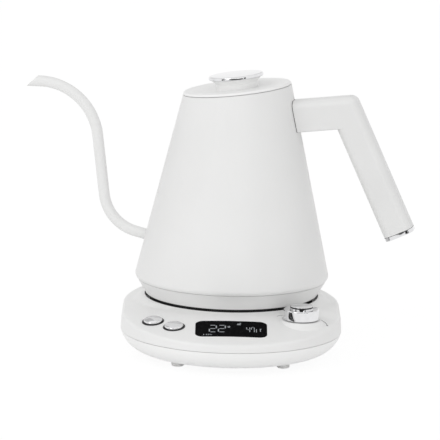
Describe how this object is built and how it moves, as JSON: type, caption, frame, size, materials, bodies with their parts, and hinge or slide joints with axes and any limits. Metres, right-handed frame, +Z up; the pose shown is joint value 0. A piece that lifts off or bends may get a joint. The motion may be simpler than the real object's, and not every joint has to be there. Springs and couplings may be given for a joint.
{
  "type": "electric gooseneck kettle",
  "caption": "Electric gooseneck kettle with an angular handle and lift-off lid, seated on a control base with display, push buttons and a rotary knob.",
  "frame": {"origin": "middle of the object's box on the table plane", "axes": "+Z up, control panel towards -Y, spout towards -X, handle towards +X"},
  "size_m": [0.304, 0.215, 0.2137],
  "materials": {
    "kettle_white": "satin powder coat",
    "skirt_white": "satin moulded",
    "handle_white": "satin moulded",
    "base_white": "satin moulded",
    "chrome": "polished",
    "steel": "brushed",
    "aluminium": "cast",
    "black_plastic": "moulded",
    "display_black": "polished",
    "rubber_black": "matt",
    "silicone": "matt",
    "brass": "plain",
    "board_green": "coated fibreglass",
    "tape_yellow": "taped winding",
    "sleeve_blue": "shrink sleeve"
  },
  "bodies": {
    "base": {"base_lower_housing": "base_white", "base_top_cover": "base_white", "base_feet": "silicone", "base_screws": "steel", "cord_gland": "black_plastic", "display_window": "display_black", "display_module": "black_plastic", "display_board": "board_green", "display_board_screws": "steel", "power_button_ring": "black_plastic", "mode_button_ring": "black_plastic", "power_switch": "black_plastic", "mode_switch": "black_plastic", "button_board": "board_green", "button_board_screws": "steel", "encoder_body": "black_plastic", "encoder_nut": "steel", "base_connector": "black_plastic", "base_contacts": "brass", "power_board": "board_green", "relay": "black_plastic", "transformer": "tape_yellow", "filter_capacitor": "sleeve_blue"},
    "knob": {"temperature_knob": "chrome", "knob_insert": "black_plastic", "encoder_shaft": "steel"},
    "power_key": {"power_button": "chrome", "power_plunger": "black_plastic"},
    "mode_key": {"mode_button": "chrome", "mode_plunger": "black_plastic"},
    "socket": {"kettle_socket": "black_plastic", "socket_contacts": "brass"},
    "kettle": {"kettle_body": "kettle_white", "spout_tube": "kettle_white", "heating_plate": "steel", "heat_spreader": "aluminium", "heating_element": "steel", "temperature_sensor": "steel", "dry_boil_switch": "black_plastic", "kettle_skirt": "skirt_white", "kettle_bottom_cover": "black_plastic", "bottom_screws": "steel", "handle_grip": "handle_white", "handle_end_cap": "chrome", "handle_gasket": "rubber_black", "handle_bracket": "steel", "handle_screws": "steel"},
    "lid": {"lid_cover": "kettle_white", "lid_inner_plate": "steel", "lid_plug_ring": "steel", "lid_seal": "silicone", "lid_knob": "kettle_white", "lid_knob_cap": "chrome", "lid_screw": "steel"}
  },
  "joints": [
    {"name": "kettle_lift", "type": "slide", "parent": "base", "child": "socket", "axis": [0, 0, 1], "range_m": [0, 0.1]},
    {"name": "kettle_swivel", "type": "hinge", "parent": "socket", "child": "kettle", "pos_m": [0.01105, 0.02249, 0.05], "axis": [0, 0, 1], "continuous": true},
    {"name": "lid_lift", "type": "slide", "parent": "kettle", "child": "lid", "axis": [-0.1202, 0.0201, 0.9925], "range_m": [0, 0.05]},
    {"name": "knob_turn", "type": "hinge", "parent": "base", "child": "knob", "pos_m": [0.06425, -0.05371, 0.04], "axis": [0, 0, 1], "continuous": true},
    {"name": "power_press", "type": "slide", "parent": "base", "child": "power_key", "axis": [0.0773, 0.1834, -0.98], "range_m": [0, 0.0008], "stiffness_N_per_m": 800},
    {"name": "mode_press", "type": "slide", "parent": "base", "child": "mode_key", "axis": [0.0773, 0.1834, -0.98], "range_m": [0, 0.0008], "stiffness_N_per_m": 800}
  ]
}
